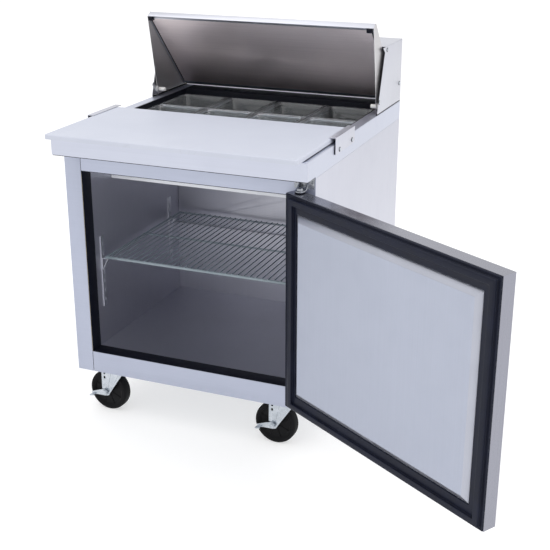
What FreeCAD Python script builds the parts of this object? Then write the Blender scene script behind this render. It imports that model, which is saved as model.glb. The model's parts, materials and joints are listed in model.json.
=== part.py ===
import FreeCAD, Part
import math
import os

# A one-door refrigerated sandwich prep table on four swivel casters.
# Millimetres, +Z up. The origin is on the floor under the middle of the cabinet, +X runs to the
# right along the front, and the front faces -Y. Depths are given as the distance behind the
# cabinet's front face, and point() turns them into Y. The door and the lid stand open.

# ---- Driving dimensions ------------------------------------------------------------------------
WIDTH = 736.0            # cabinet, side to side
DEPTH = 748.0            # cabinet, front face to back
SKIRT_Z = 140.0          # lower edge of the cabinet's skirt
BASE_Z = 157.0           # underside of the base panel, where the casters bolt on
OPENING_Z = (203.0, 747.0)   # door opening, bottom and top
APRON_Z = 801.0          # lower edge of the worktop's front nosing
SEAM_Z = 797.0           # lower edge of the worktop's side skirts
TOP_Z = 852.0            # worktop surface
HOOD_Z = 1041.0          # top of the rear hood
NOSING = 58.0            # worktop overhang in front of the cabinet
STILE = 51.0             # width of a front stile
SHEET = 1.2              # stainless sheet
TOP_SHEET = 1.5          # worktop sheet

WELL_HALF_X = 336.0      # pan cut-out, half width
WELL_BACK = (298.0, 678.0)   # pan well, front and rear wall
WELL_FLANGE_BACK = 740.0     # rear edge of the well's black flange, under the lid
WELL_FLOOR_Z = 738.0     # lower edge of the well's collar
TRAY_Z = 688.0           # underside of the tray below the pans
PAN_PITCH_X = 166.0
PAN_WIDTH = 162.0
PAN_LENGTH = 176.0
PAN_DEPTH = 100.0
PAN_ROW_BACK = 484.0     # line between the two rows of pans
PAN_COLUMNS = 4
PAN_RIM_Z = 838.0        # top of the pans' rims

BOARD_HALF_X = 358.0
BOARD_BACK = (-104.0, 277.0)
BOARD_THICK = 13.0
BOARD_LIFT = 2.5         # the board stands on rubber strips

DOOR_OPEN = 148.0        # degrees, as modelled
DOOR_X = (-363.0, 365.0)
DOOR_Z = (169.0, 766.0)
DOOR_BACK = (-52.1, -13.7)   # outer face and inner face of the closed door
DOOR_PIVOT = (339.5, -36.0)
GASKET_WIDTH = 46.0
PIN_R = 6.0

LID_OPEN = 78.0          # degrees, as modelled
LID_PIVOT = (545.0, 872.0)   # distance back and height
LID_HALF_X = 358.0

CAVITY_HALF_X = 315.2    # inner face of the liner
CAVITY_FLOOR_Z = 204.0
CAVITY_ROOF_Z = 745.0
LOW_BACK = 560.0         # lower back wall of the cavity, in front of the machine compartment
HIGH_BACK = 700.0        # upper back wall of the cavity
STEP_Z = 430.0           # shelf over the machine compartment

CASTER_X = 269.0
CASTER_BACK = (52.0, 690.0)
CASTER_TRAIL = 27.0
WHEEL_R = 62.0
WHEEL_WIDTH = 32.0
AXLE_R = 5.0
RUNNING = 0.06           # radial clearance of a running fit
CASTER_HEADING = {"fl": 176.0, "fr": 176.0, "rl": 250.0, "rr": 285.0}

SHELF_Z = 473.0
SHELF_HALF_X = 298.0
SHELF_BACK = (74.0, 540.0)

HALF = WIDTH / 2
GAP = 0.3                # clearance between pieces that move past each other
UP = FreeCAD.Vector(0, 0, 1)
RIGHT = FreeCAD.Vector(1, 0, 0)
BACK = FreeCAD.Vector(0, 1, 0)


# ---- Shape helpers -----------------------------------------------------------------------------
def point(x, back, z):
    return FreeCAD.Vector(x, back - DEPTH / 2, z)


def block(x0, x1, back0, back1, z0, z1):
    return Part.makeBox(x1 - x0, back1 - back0, z1 - z0, point(x0, back0, z0))


def rod(start, end, radius):
    """A round bar between two points given as (x, back, z)."""
    a, b = point(*start), point(*end)
    return Part.makeCylinder(radius, (b - a).Length, a, b - a)


def tube(start, end, outer, inner):
    return rod(start, end, outer).cut(rod(start, end, inner))


def prism_x(outline, x0, x1):
    """An outline of (back, z) points, extruded from x0 to x1."""
    corners = [point(x0, back, z) for back, z in outline]
    face = Part.Face(Part.makePolygon(corners + corners[:1]))
    return face.extrude(RIGHT * (x1 - x0))


def prism_y(outline, back0, back1):
    """An outline of (x, z) points, extruded from back0 to back1."""
    corners = [point(x, back0, z) for x, z in outline]
    face = Part.Face(Part.makePolygon(corners + corners[:1]))
    return face.extrude(BACK * (back1 - back0))


def join(shapes):
    """One solid out of pieces that touch or overlap."""
    return shapes[0].fuse(shapes[1:]).removeSplitter()


def group(shapes):
    """Separate solids that share a node."""
    return Part.makeCompound(shapes)


def mirrored(shape):
    return shape.mirror(FreeCAD.Vector(0, 0, 0), RIGHT)


def pair(shape):
    return group([shape, mirrored(shape)])


def rounded(shape, radius, wanted):
    """Fillets the edges whose middle point passes the test wanted(middle, direction)."""
    edges = []
    for edge in shape.Edges:
        if edge.Curve.TypeId != "Part::GeomLine":
            continue
        middle = edge.valueAt((edge.FirstParameter + edge.LastParameter) / 2)
        if wanted(middle, edge.Curve.Direction):
            edges.append(edge)
    return shape.makeFillet(radius, edges)


def along(direction, axis):
    return abs(direction.dot(axis)) > 0.99


def hex_head(centre, axis, across, height):
    """A hexagon head or nut with its base at centre, standing along axis."""
    corner_r = across / math.sqrt(3)
    points = []
    for i in range(7):
        turn = math.radians(60 * i)
        points.append(FreeCAD.Vector(corner_r * math.cos(turn), corner_r * math.sin(turn), 0))
    nut = Part.Face(Part.makePolygon(points)).extrude(UP * height)
    nut.Placement = FreeCAD.Placement(centre, FreeCAD.Rotation(UP, axis))
    return nut


# ---- Cabinet -----------------------------------------------------------------------------------
def side_panel_left():
    skin = block(-HALF, -HALF + SHEET, SHEET, DEPTH, SKIRT_Z, SEAM_Z - 0.4)
    hem = block(-HALF + SHEET, -HALF + 16, 22, DEPTH - 4, SKIRT_Z, SKIRT_Z + SHEET)
    return join([skin, hem])


def face_frame():
    seam = 0.7
    inner = HALF - STILE
    stile = block(inner + seam, HALF, 0, SHEET, SKIRT_Z, APRON_Z - 0.4)
    stile = stile.cut(block(HALF - TOP_SHEET - 0.3, HALF + 1, -1, 3, SEAM_Z - 0.4, APRON_Z))
    low = join([
        block(-inner + seam, inner - seam, 0, SHEET, SKIRT_Z, OPENING_Z[0]),
        block(-inner + seam, inner - seam, SHEET, 20, OPENING_Z[0] - SHEET, OPENING_Z[0]),
        block(-inner + seam, inner - seam, SHEET, 20, SKIRT_Z, SKIRT_Z + SHEET),
    ])
    high = join([
        block(-inner + seam, inner - seam, 0, SHEET, OPENING_Z[1], APRON_Z - 0.4),
        block(-inner + seam, inner - seam, SHEET, 20, OPENING_Z[1], OPENING_Z[1] + SHEET),
    ])
    return group([stile, mirrored(stile), low, high])


def rear_panel():
    inside = HALF - SHEET - 0.2
    return block(-inside, inside, DEPTH - SHEET, DEPTH, 398, SEAM_Z - 0.4)


def base_panel():
    inside = HALF - SHEET - 0.2
    return block(-inside, inside, SHEET + 0.3, DEPTH - SHEET - 0.3, BASE_Z, BASE_Z + SHEET)


GLAND_X = 105.0
GLAND_Z = 170.0


def rear_grille():
    """The louvred panel that closes the machine compartment: slots under slanted hoods."""
    inside = HALF - SHEET - 0.2
    panel = block(-inside, inside, DEPTH - SHEET, DEPTH, SKIRT_Z + 2, 397.6)
    slots, hoods = [], []
    for x0 in (-320, -100, 120):
        for row in range(9):
            z = 180 + 22 * row
            slots.append(block(x0, x0 + 190, DEPTH - 4, DEPTH + 4, z, z + 7))
            louvre = [(DEPTH - 0.4, z + 9), (DEPTH + 5, z + 1.5), (DEPTH + 5, z + 2.7), (DEPTH - 0.4, z + 10.4)]
            hoods.append(prism_x(louvre, x0 - 2, x0 + 192))
    gland_hole = rod((GLAND_X, DEPTH - 5, GLAND_Z), (GLAND_X, DEPTH + 5, GLAND_Z), 8.2)
    return join([panel.cut(group(slots + [gland_hole]))] + hoods)


def liner_wrap():
    """Side walls and roof of the cavity."""
    outline = [
        (45.5, CAVITY_FLOOR_Z + SHEET + 0.2), (LOW_BACK - 0.2, CAVITY_FLOOR_Z + SHEET + 0.2),
        (LOW_BACK - 0.2, STEP_Z + SHEET + 0.2), (HIGH_BACK - 0.2, STEP_Z + SHEET + 0.2),
        (HIGH_BACK - 0.2, WELL_FLOOR_Z - 0.4), (45.5, WELL_FLOOR_Z - 0.4),
    ]
    wall = prism_x(outline, CAVITY_HALF_X, CAVITY_HALF_X + SHEET)
    roof = block(-CAVITY_HALF_X, CAVITY_HALF_X, 45.5, WELL_BACK[0] - 1, CAVITY_ROOF_Z, CAVITY_ROOF_Z + SHEET)
    return group([wall, mirrored(wall), roof])


def liner_back_and_floor():
    """Floor, lower back wall with the step over the machine compartment, and upper back wall."""
    x = CAVITY_HALF_X
    wide = x + SHEET
    floor = block(-wide, wide, 45.5, LOW_BACK - 0.2, CAVITY_FLOOR_Z, CAVITY_FLOOR_Z + SHEET)
    low = block(-x, x, LOW_BACK, LOW_BACK + SHEET, CAVITY_FLOOR_Z, STEP_Z)
    step = block(-x, x, LOW_BACK, HIGH_BACK - 0.2, STEP_Z, STEP_Z + SHEET)
    high = block(-x, x, HIGH_BACK, HIGH_BACK + SHEET, STEP_Z, WELL_FLOOR_Z - 0.4)
    return group([floor, low, step, high])


def cabinet_foam():
    """Foamed-in insulation between the outer sheets and the liner."""
    wall = CAVITY_HALF_X + 2.0
    skin = HALF - SHEET - 0.2
    low_z = BASE_Z + SHEET + 0.3
    side_low = block(wall, skin, 1.6, 597, low_z, WELL_FLOOR_Z - 0.6)
    side_high = block(wall, skin, 597, DEPTH - 1.6, 398, WELL_FLOOR_Z - 0.6)
    top_side = block(WELL_HALF_X + 0.2, skin, WELL_BACK[0], DEPTH - 1.8, WELL_FLOOR_Z, SEAM_Z - 1)
    floor = block(-wall, wall, 20.4, LOW_BACK + 36, low_z, CAVITY_FLOOR_Z - 1.2)
    low_back = block(-wall, wall, LOW_BACK + SHEET + 0.2, LOW_BACK + 36, CAVITY_FLOOR_Z - 1, STEP_Z - 0.4)
    step = block(-wall, wall, LOW_BACK + 36.2, HIGH_BACK, 398, STEP_Z - 0.4)
    high_back = block(-wall, wall, HIGH_BACK + SHEET + 0.2, DEPTH - 1.6, 398, WELL_FLOOR_Z - 0.6)
    front_top = block(-wall, wall, 20.6, WELL_BACK[0] - 1, CAVITY_ROOF_Z + 4, TOP_Z - 2.2)
    rear_top = block(
        -WELL_HALF_X, WELL_HALF_X, WELL_BACK[1] + 0.4, DEPTH - 1.8, WELL_FLOOR_Z, TOP_Z - 2.2)
    return group([
        join([side_low, side_high]), mirrored(join([side_low, side_high])), top_side, mirrored(top_side),
        floor, low_back, step, high_back, front_top, rear_top,
    ])


def breaker_strip():
    """Black thermal-break frame that lines the door opening."""
    outer_x, inner_x = CAVITY_HALF_X + 1.6, CAVITY_HALF_X
    low, high = OPENING_Z
    outer = block(-outer_x, outer_x, 0.8, 45.2, low + 0.2, high - 0.2)
    inner = block(-inner_x, inner_x, 0, 46, low + 1.8, high - 1.8)
    return outer.cut(inner)


# ---- Worktop, well and hood --------------------------------------------------------------------
def worktop():
    under = TOP_Z - TOP_SHEET
    solid = block(-HALF, HALF, -NOSING, DEPTH, SEAM_Z, TOP_Z)
    solid = solid.cut(block(-HALF, HALF, -NOSING, 0, SEAM_Z, APRON_Z))
    nosing_edges = rounded(
        solid, 3.0,
        lambda m, d: m.z > TOP_Z - 0.1 and (along(d, RIGHT) and m.y < point(0, 0, 0).y or along(d, BACK)))
    inside = HALF - TOP_SHEET
    hollow = block(-inside, inside, 0, DEPTH - TOP_SHEET, SEAM_Z - 1, under)
    nose_hollow = block(-inside, inside, -NOSING + TOP_SHEET, 1, APRON_Z + TOP_SHEET, under)
    hand_slot = block(-inside, inside, -2, 1, APRON_Z - 1, under)
    cut_out = block(-WELL_HALF_X, WELL_HALF_X, WELL_BACK[0], WELL_FLANGE_BACK, SEAM_Z, TOP_Z + 5)
    return nosing_edges.cut(hollow).cut(nose_hollow).cut(hand_slot).cut(cut_out)


def well_frame():
    """Black collar of the pan well: a ledge for the pans all round, and a flange under the lid."""
    x = WELL_HALF_X - 0.3
    front, rear = WELL_BACK[0] + 0.3, WELL_BACK[1] - 0.3
    ledge_z = PAN_RIM_Z - 3
    collar = block(-x, x, front, rear, WELL_FLOOR_Z, TOP_Z - 0.6)
    collar = collar.cut(block(-x + 4, x - 4, front + 4, rear - 4, ledge_z, TOP_Z + 1))
    throat = block(-x + 12, x - 12, front + 13, rear - 20, WELL_FLOOR_Z - 1, TOP_Z + 1)
    skirt = block(-x + 4, x - 4, front + 4, rear - 4, WELL_FLOOR_Z - 1, ledge_z - 4)
    flange = block(-x, x, rear - 1, WELL_FLANGE_BACK - 0.3, TOP_Z - 2.1, TOP_Z - 0.6)
    return join([collar.cut(throat).cut(skirt), flange])


def pan_bars():
    """Bars that carry the pans' rims between the rows and the columns."""
    z0, z1 = PAN_RIM_Z - 9, PAN_RIM_Z - 3.2
    x = WELL_HALF_X - 12.6
    front, rear = WELL_BACK[0] + 13.8, WELL_BACK[1] - 20.8
    bars = [block(-x, x, PAN_ROW_BACK - 5, PAN_ROW_BACK + 5, z0, z1)]
    for column in (-1, 0, 1):
        at = column * PAN_PITCH_X
        bars.append(block(at - 5, at + 5, front, PAN_ROW_BACK - 5.1, z0, z1))
        bars.append(block(at - 5, at + 5, PAN_ROW_BACK + 5.1, rear, z0, z1))
    return group(bars)


def well_baffle():
    """Pale drip tray that hangs under the pans and leads the cold air round them."""
    x = CAVITY_HALF_X - 1
    front, rear = 153.0, 596.0
    plate = block(-x, x, front, rear, TRAY_Z, TRAY_Z + 1.5)
    lip = block(-x, x, front, front + 1.5, TRAY_Z + 1.5, CAVITY_ROOF_Z - 1)
    slots = []
    for i in range(9):
        centre = -240 + 60 * i
        slots.append(block(centre - 20, centre + 20, 560, 572, TRAY_Z - 3, TRAY_Z + 5))
    return join([plate, lip]).cut(group(slots))


def hood_shell():
    top = block(-HALF, HALF, 575, DEPTH, HOOD_Z - SHEET, HOOD_Z)
    back = block(-HALF + SHEET + 0.2, HALF - SHEET - 0.2, DEPTH - SHEET, DEPTH, TOP_Z + 0.6, HOOD_Z - SHEET)
    hem = block(-HALF + 14, HALF - 14, 576, 582, HOOD_Z - 2 * SHEET, HOOD_Z - SHEET)
    return join([top, back, hem])


def hood_sides():
    outline = [
        (512, TOP_Z + 3.6), (DEPTH - 0.2, TOP_Z + 3.6), (DEPTH - 0.2, HOOD_Z - SHEET - 0.2),
        (550, HOOD_Z - SHEET - 0.2), (571, 1024),
    ]
    cheek = prism_x(outline, HALF - SHEET, HALF)
    return pair(cheek)


def cutting_board():
    slab = block(
        -BOARD_HALF_X, BOARD_HALF_X, BOARD_BACK[0], BOARD_BACK[1],
        TOP_Z + BOARD_LIFT, TOP_Z + BOARD_LIFT + BOARD_THICK)
    corners = rounded(slab, 8.0, lambda m, d: along(d, UP))
    front_y = point(0, BOARD_BACK[0], 0).y
    return rounded(
        corners, 4.0,
        lambda m, d: m.z > TOP_Z + 10 and (along(d, RIGHT) or along(d, BACK)) and m.y > front_y - 1)


BRACKET_X = HALF + 2.4       # inner face of a board bracket's plate
BRACKET_BACK = (138.0, 294.0)


def board_brackets():
    top = TOP_Z + BOARD_LIFT + BOARD_THICK + GAP
    back0, back1 = BRACKET_BACK
    plate = block(BRACKET_X, BRACKET_X + TOP_SHEET, back0, back1, 824, top + TOP_SHEET)
    flange = block(352, BRACKET_X, back0, back1, top, top + TOP_SHEET)
    return pair(join([plate, flange]))


def rubber_strips():
    """Strips under the cutting board and the hood's cheeks, and pads behind the board brackets."""
    z0, z1 = TOP_Z + 0.1, TOP_Z + BOARD_LIFT - GAP
    back0, back1 = BRACKET_BACK
    board_front = block(-330, 330, -50, -42, z0, z1)
    board_side = block(332, BOARD_HALF_X - 1, -44, 268, z0, z1)
    hood_seal = block(HALF - 5, HALF - 0.4, 513, DEPTH - SHEET - 0.3, TOP_Z + 0.1, TOP_Z + 3.4)
    bracket_pad = block(HALF + 0.1, BRACKET_X - 0.1, back0 + 0.5, back1 - 0.5, 825, 848)
    strips = [board_side, hood_seal, bracket_pad]
    return group([board_front] + strips + [mirrored(strip) for strip in strips])


def panel_screws():
    """Round-head screws with washers, on the board brackets and the hood's sides."""
    screws = []
    places = [
        (BRACKET_X + TOP_SHEET, 272, 836), (BRACKET_X + TOP_SHEET, 170, 833),
        (HALF, 590, 1030), (HALF, 732, 909), (HALF, 526, 888),
    ]
    for x, back, z in places:
        washer = rod((x, back, z), (x + 0.8, back, z), 6.5)
        head = rod((x + 0.8, back, z), (x + 2.8, back, z), 4.4)
        slot = block(x + 1.8, x + 4, back - 4, back + 4, z - 0.5, z + 0.5)
        screws.append(join([washer, head]).cut(slot))
    return group(screws + [mirrored(screw) for screw in screws])


def lid_pivot_pins():
    back, z = LID_PIVOT
    pin = rod((338, back, z), (HALF - SHEET, back, z), PIN_R)
    washer = rod((LID_HALF_X + GAP, back, z), (HALF - SHEET, back, z), 9.5)
    return pair(join([pin, washer]))


# ---- Lid ---------------------------------------------------------------------------------------
LID_LIP = (306.0, 861.0)
LID_NOSE = (299.0, 884.0)
LID_REAR_TOP = (575.0, 1033.0)
LID_REAR_LOW = (587.0, 1029.0)
LID_HEEL = (556.0, 857.4)


def shrunk(outline, amount):
    """The outline moved inwards by an equal distance on every side; corners run anticlockwise."""
    moved = []
    count = len(outline)
    for i in range(count):
        before, here, after = outline[i - 1], outline[i], outline[(i + 1) % count]
        lines = []
        for a, b in ((before, here), (here, after)):
            length = math.hypot(b[0] - a[0], b[1] - a[1])
            normal = (-(b[1] - a[1]) / length, (b[0] - a[0]) / length)
            lines.append((normal, normal[0] * here[0] + normal[1] * here[1] + amount))
        (n1, d1), (n2, d2) = lines
        det = n1[0] * n2[1] - n1[1] * n2[0]
        moved.append(((d1 * n2[1] - d2 * n1[1]) / det, (n1[0] * d2 - n2[0] * d1) / det))
    return moved


def opened_lid(shape):
    """Turns a piece modelled on the closed lid to the open position."""
    turned = shape.copy()
    back, z = LID_PIVOT
    turned.rotate(point(0, back, z), RIGHT, -LID_OPEN)
    return turned


def lid_pieces():
    panel = [LID_LIP, LID_REAR_LOW, LID_REAR_TOP, LID_NOSE]
    wide = LID_HALF_X - 1.4
    skin = 1.0
    full = prism_x(panel, -wide, wide)
    nose = [edge for edge in full.Edges if along_lid_nose(edge)]
    full = full.makeFillet(4.0, nose)
    core_outline = shrunk(panel, skin)
    core = prism_x(core_outline, -wide + skin, wide - skin)
    lip_line = [LID_LIP, LID_REAR_LOW]
    inner_plate = prism_x(strip(lip_line, 0.0, skin), -wide + 9, wide - 9)
    slot = prism_x(strip(lip_line, -0.5, skin + 0.02), -wide + 5.5, wide - 5.5)
    bead = prism_x(strip(lip_line, 0.25, skin), wide - 8.9, wide - 5.6)
    outer = full.cut(core).cut(slot)
    gusset = prism_x(
        [LID_LIP, LID_HEEL, LID_REAR_LOW, LID_REAR_TOP, LID_NOSE], LID_HALF_X - 1.2, LID_HALF_X)
    back, z = LID_PIVOT
    hole = rod((LID_HALF_X - 5, back, z), (LID_HALF_X + 5, back, z), PIN_R + RUNNING)
    gusset = gusset.cut(hole)
    bumper = prism_x([(306, 853.4), (318, 853.4), (318, 867.7), (306.4, 860.8), (306, 860.8)], 338, 353)
    bumper = rounded(bumper, 1.5, lambda m, d: m.z < 853.5)
    return {
        "lid_outer": outer,
        "lid_inner": inner_plate,
        "lid_foam": core.cut(slot).cut(inner_plate),
        "lid_gussets": pair(gusset),
        "lid_bumpers": group([bumper, mirrored(bumper), bead, mirrored(bead)]),
    }


def along_lid_nose(edge):
    middle = edge.valueAt((edge.FirstParameter + edge.LastParameter) / 2)
    target = point(0, LID_NOSE[0], LID_NOSE[1])
    return along(edge.Curve.Direction, RIGHT) and abs(middle.y - target.y) < 1 and abs(middle.z - target.z) < 1


def strip(line, low, high):
    """A thin quadrilateral beside a line, from low to high on its upper side, with square ends."""
    (b0, z0), (b1, z1) = line
    length = math.hypot(b1 - b0, z1 - z0)
    along_line = ((b1 - b0) / length, (z1 - z0) / length)
    normal = (-along_line[1], along_line[0])
    start = (b0 + along_line[0] * 10, z0 + along_line[1] * 10)
    end = (b1 - along_line[0] * 10, z1 - along_line[1] * 10)
    corners = []
    for base, offset in ((start, low), (end, low), (end, high), (start, high)):
        corners.append((base[0] + normal[0] * offset, base[1] + normal[1] * offset))
    return corners


# ---- Door --------------------------------------------------------------------------------------
def opened_door(shape):
    """Turns a piece modelled on the closed door to the open position."""
    turned = shape.copy()
    x, back = DOOR_PIVOT
    turned.rotate(point(x, back, 0), UP, DOOR_OPEN)
    return turned


def door_frame(inset0, inset1, back0, back1, hinge_inset0=None, hinge_inset1=None):
    """A rectangular frame on the door's inner face, between two insets from the door's edges."""
    outer_right = DOOR_X[1] - (inset0 if hinge_inset0 is None else hinge_inset0)
    inner_right = DOOR_X[1] - (inset1 if hinge_inset1 is None else hinge_inset1)
    outer = block(DOOR_X[0] + inset0, outer_right, back0, back1, DOOR_Z[0] + inset0, DOOR_Z[1] - inset0)
    inner = block(
        DOOR_X[0] + inset1, inner_right, back0 - 1, back1 + 1, DOOR_Z[0] + inset1, DOOR_Z[1] - inset1)
    return outer.cut(inner)


def door_pan(inset, back, bevel, rise):
    """A raised panel on the door's inner face, with bevelled sides."""
    rings = []
    for step, at in ((inset, back), (inset + bevel, back + rise)):
        x0, x1 = DOOR_X[0] + step, DOOR_X[1] - step
        z0, z1 = DOOR_Z[0] + step, DOOR_Z[1] - step
        corners = [point(x0, at, z0), point(x1, at, z0), point(x1, at, z1), point(x0, at, z1)]
        rings.append(Part.makePolygon(corners + corners[:1]))
    return Part.makeLoft(rings, True, True)


def door_pieces():
    front, inner_face = DOOR_BACK
    x0, x1 = DOOR_X
    z0, z1 = DOOR_Z
    skin = 1.0
    pivot_x, pivot_back = DOOR_PIVOT
    bush_r = 10.0
    full = block(x0, x1, front, inner_face, z0, z1)
    front_y = point(0, front, 0).y
    full = rounded(full, 2.5, lambda m, d: along(d, UP) and m.y < front_y + 1)
    hollow = block(x0 + skin, x1 - skin, front + skin, inner_face + 1, z0 + skin, z1 - skin)
    cup_x, cup_z, cup_depth = (x0 + 18, x0 + 50), (400, 540), 24
    cup_hole = block(cup_x[0], cup_x[1], front - 1, front + cup_depth, cup_z[0], cup_z[1])
    bush_holes = rod((pivot_x, pivot_back, z0 - 5), (pivot_x, pivot_back, z1 + 5), bush_r)
    shell = full.cut(hollow).cut(cup_hole).cut(bush_holes)

    cup_outer = block(
        cup_x[0] + 0.1, cup_x[1] - 0.1, front - 0.8, front + cup_depth - 0.2, cup_z[0] + 0.1, cup_z[1] - 0.1)
    flange = block(cup_x[0] - 5, cup_x[1] + 5, front - 1.4, front - 0.1, cup_z[0] - 5, cup_z[1] + 5)
    cup_inner = block(
        cup_x[0] + 2, cup_x[1] - 2, front - 2, front + cup_depth - 2, cup_z[0] + 2, cup_z[1] - 2)
    cup = join([cup_outer, flange]).cut(cup_inner)

    bushes = []
    for low, high, lip in ((z0, z0 + 24, z0 - 1.2), (z1 - 24, z1, z1)):
        body = rod((pivot_x, pivot_back, low), (pivot_x, pivot_back, high), bush_r - 0.1)
        collar = rod((pivot_x, pivot_back, lip), (pivot_x, pivot_back, lip + 1.2), bush_r + 3)
        bore = rod((pivot_x, pivot_back, low - 3), (pivot_x, pivot_back, high + 3), PIN_R + RUNNING)
        bushes.append(join([body, collar]).cut(bore))

    inset, bevel, rise = GASKET_WIDTH + 1.5, 15.0, 11.0
    liner_flange = block(
        x0 + skin + 0.2, x1 - skin - 0.2, inner_face - 1.5, inner_face, z0 + skin + 0.2, z1 - skin - 0.2)
    raised = door_pan(inset, inner_face, bevel, rise)
    hollow_pan = door_pan(inset + 1.2, inner_face - 1.6, bevel + 0.4, rise + 0.6)
    liner = join([liner_flange, raised]).cut(hollow_pan).cut(bush_holes)

    foam = block(x0 + 1.3, x1 - 1.3, front + 1.3, inner_face - 1.8, z0 + 1.3, z1 - 1.3)
    foam = foam.cut(cup_hole).cut(bush_holes)
    foam = join([foam, door_pan(inset + 1.8, inner_face - 1.9, bevel + 0.4, rise + 0.6)])

    base = door_frame(1.5, GASKET_WIDTH, inner_face + 0.1, inner_face + 4)
    groove = door_frame(5.0, 7.0, inner_face + 2.6, inner_face + 5)
    bulb = door_frame(9.0, 25.0, inner_face + 4, -0.5, hinge_inset0=22.5, hinge_inset1=38.0)
    gasket = join([base.cut(groove), bulb])
    return {
        "door_shell": shell,
        "door_liner": liner,
        "door_foam": foam,
        "door_gasket": gasket,
        "door_fittings": group([cup] + bushes),
    }


def hinges():
    """Top and bottom hinge brackets on the face frame, each with its fixed pin and two screws."""
    pivot_x, pivot_back = DOOR_PIVOT
    solids = []
    for arm_z, plate_z, pin_end, up in ((768.6, (768.6, 799), 744.5, 1), (162.6, (143, 166.6), 190.5, -1)):
        plate = block(312, 366, -4.2, -0.2, plate_z[0], plate_z[1])
        arm = block(pivot_x - 13, pivot_x + 13, pivot_back, -4.2, arm_z, arm_z + 4)
        nose = rod((pivot_x, pivot_back, arm_z), (pivot_x, pivot_back, arm_z + 4), 13)
        pin = rod((pivot_x, pivot_back, pin_end), (pivot_x, pivot_back, arm_z + 2), PIN_R)
        root_z = arm_z + 4 if up > 0 else arm_z
        cap = rod((pivot_x, pivot_back, root_z), (pivot_x, pivot_back, root_z + up * 7), 8)
        cap = cap.makeFillet(2.5, [edge for edge in cap.Edges if is_cap_rim(edge, root_z + up * 7)])
        web_outline = [(-4.2, root_z), (-27, root_z), (-20, root_z + up * 5), (-4.2, root_z + up * 17)]
        webs = [prism_x(web_outline, pivot_x + at, pivot_x + at + 3.5) for at in (-13, 9.5)]
        solids.append(join([plate, arm, nose, pin, cap] + webs))
        middle = (plate_z[0] + plate_z[1]) / 2 + (3 if arm_z > 500 else -2)
        for x in (318, 360.5):
            head = rod((x, -6.6, middle), (x, -4.2, middle), 4.5)
            solids.append(head.cut(rod((x, -6.8, middle), (x, -5.2, middle), 1.8)))
    return group(solids)


def is_cap_rim(edge, z):
    return edge.Curve.TypeId == "Part::GeomCircle" and abs(edge.CenterOfMass.z - z) < 0.01


# ---- Pans, shelf and its supports --------------------------------------------------------------
def rounded_ring(x, back, half_x, half_back, radius, z):
    """A level rectangle with round corners, as a wire."""
    plate = block(x - half_x, x + half_x, back - half_back, back + half_back, z - 5, z)
    plate = rounded(plate, radius, lambda m, d: along(d, UP))
    return max(plate.Faces, key=lambda face: face.CenterOfMass.z).OuterWire


def food_pan(column, row):
    """A sixth-size food pan: a flat rim over a tapered tub with a slightly sunk floor."""
    x = (column - (PAN_COLUMNS - 1) / 2) * PAN_PITCH_X
    middle = PAN_ROW_BACK + (-1 if row == "front" else 1) * (PAN_LENGTH / 2 + 1)
    wall = 2.4
    rim_z0 = PAN_RIM_Z - 2.8

    half_x, half_b = PAN_WIDTH / 2 - 8, PAN_LENGTH / 2 - 10
    outer = Part.makeLoft([
        rounded_ring(x, middle, half_x - 8, half_b - 8, 14, PAN_RIM_Z - PAN_DEPTH),
        rounded_ring(x, middle, half_x, half_b, 18, rim_z0 + 0.5)], True, True)
    inner = Part.makeLoft([
        rounded_ring(x, middle, half_x - 8 - wall, half_b - 8 - wall, 12, PAN_RIM_Z - PAN_DEPTH + wall),
        rounded_ring(x, middle, half_x - wall, half_b - wall, 16, PAN_RIM_Z + 1)], True, True)
    rim = block(
        x - PAN_WIDTH / 2, x + PAN_WIDTH / 2, middle - PAN_LENGTH / 2, middle + PAN_LENGTH / 2,
        rim_z0, PAN_RIM_Z)
    rim = rounded(rim, 9.0, lambda m, d: along(d, UP))
    return join([outer, rim]).cut(inner)


def wire_shelf():
    """Coated wire shelf: a heavy front rail, cross bars, and close wires from front to back."""
    front, rear = SHELF_BACK
    front_rail, side_bar, cross_bar, wire = 4.2, 3.0, 2.8, 1.7
    rods = [rod((-SHELF_HALF_X, front, SHELF_Z), (SHELF_HALF_X, front, SHELF_Z), front_rail)]
    for back in ((front + rear) / 2, rear):
        rods.append(rod((-SHELF_HALF_X, back, SHELF_Z), (SHELF_HALF_X, back, SHELF_Z), cross_bar))
    for x in (-SHELF_HALF_X, SHELF_HALF_X):
        rods.append(rod((x, front - 4, SHELF_Z), (x, rear + 4, SHELF_Z), side_bar))
    count = 32
    top_z = SHELF_Z + cross_bar + 1.0
    for i in range(count):
        x = -SHELF_HALF_X + (i + 1) * 2 * SHELF_HALF_X / (count + 1)
        rods.append(rod((x, front - 2.6, top_z), (x, rear + 2.2, top_z), wire))
    return join(rods)


def shelf_supports():
    """Four slotted pilasters on the side walls, and a braced clip in each that carries the shelf."""
    inner = CAVITY_HALF_X - 0.2
    solids = []
    for back in (82, 500):
        strip_body = block(inner - 2.5, inner, back - 9, back + 9, 319, 534)
        slots = []
        for row in range(7):
            slots.append(block(inner - 5, inner + 1, back - 3, back + 3, 333 + 28 * row, 345 + 28 * row))
        solids.append(strip_body.cut(group(slots)))
        arm_z = SHELF_Z - 4.2 - GAP
        arm = block(292, inner - 2.7, back - 8, back + 8, arm_z - 2, arm_z)
        plate = block(inner - 4.7, inner - 2.7, back - 8, back + 8, arm_z - 36, arm_z)
        brace_outline = [
            (inner - 4.6, arm_z - 36), (inner - 4.6, arm_z - 32), (296, arm_z - 1.9), (292, arm_z - 1.9)]
        solids.append(join([arm, plate, prism_y(brace_outline, back - 8, back + 8)]))
    return group(solids + [mirrored(solid) for solid in solids])


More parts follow.
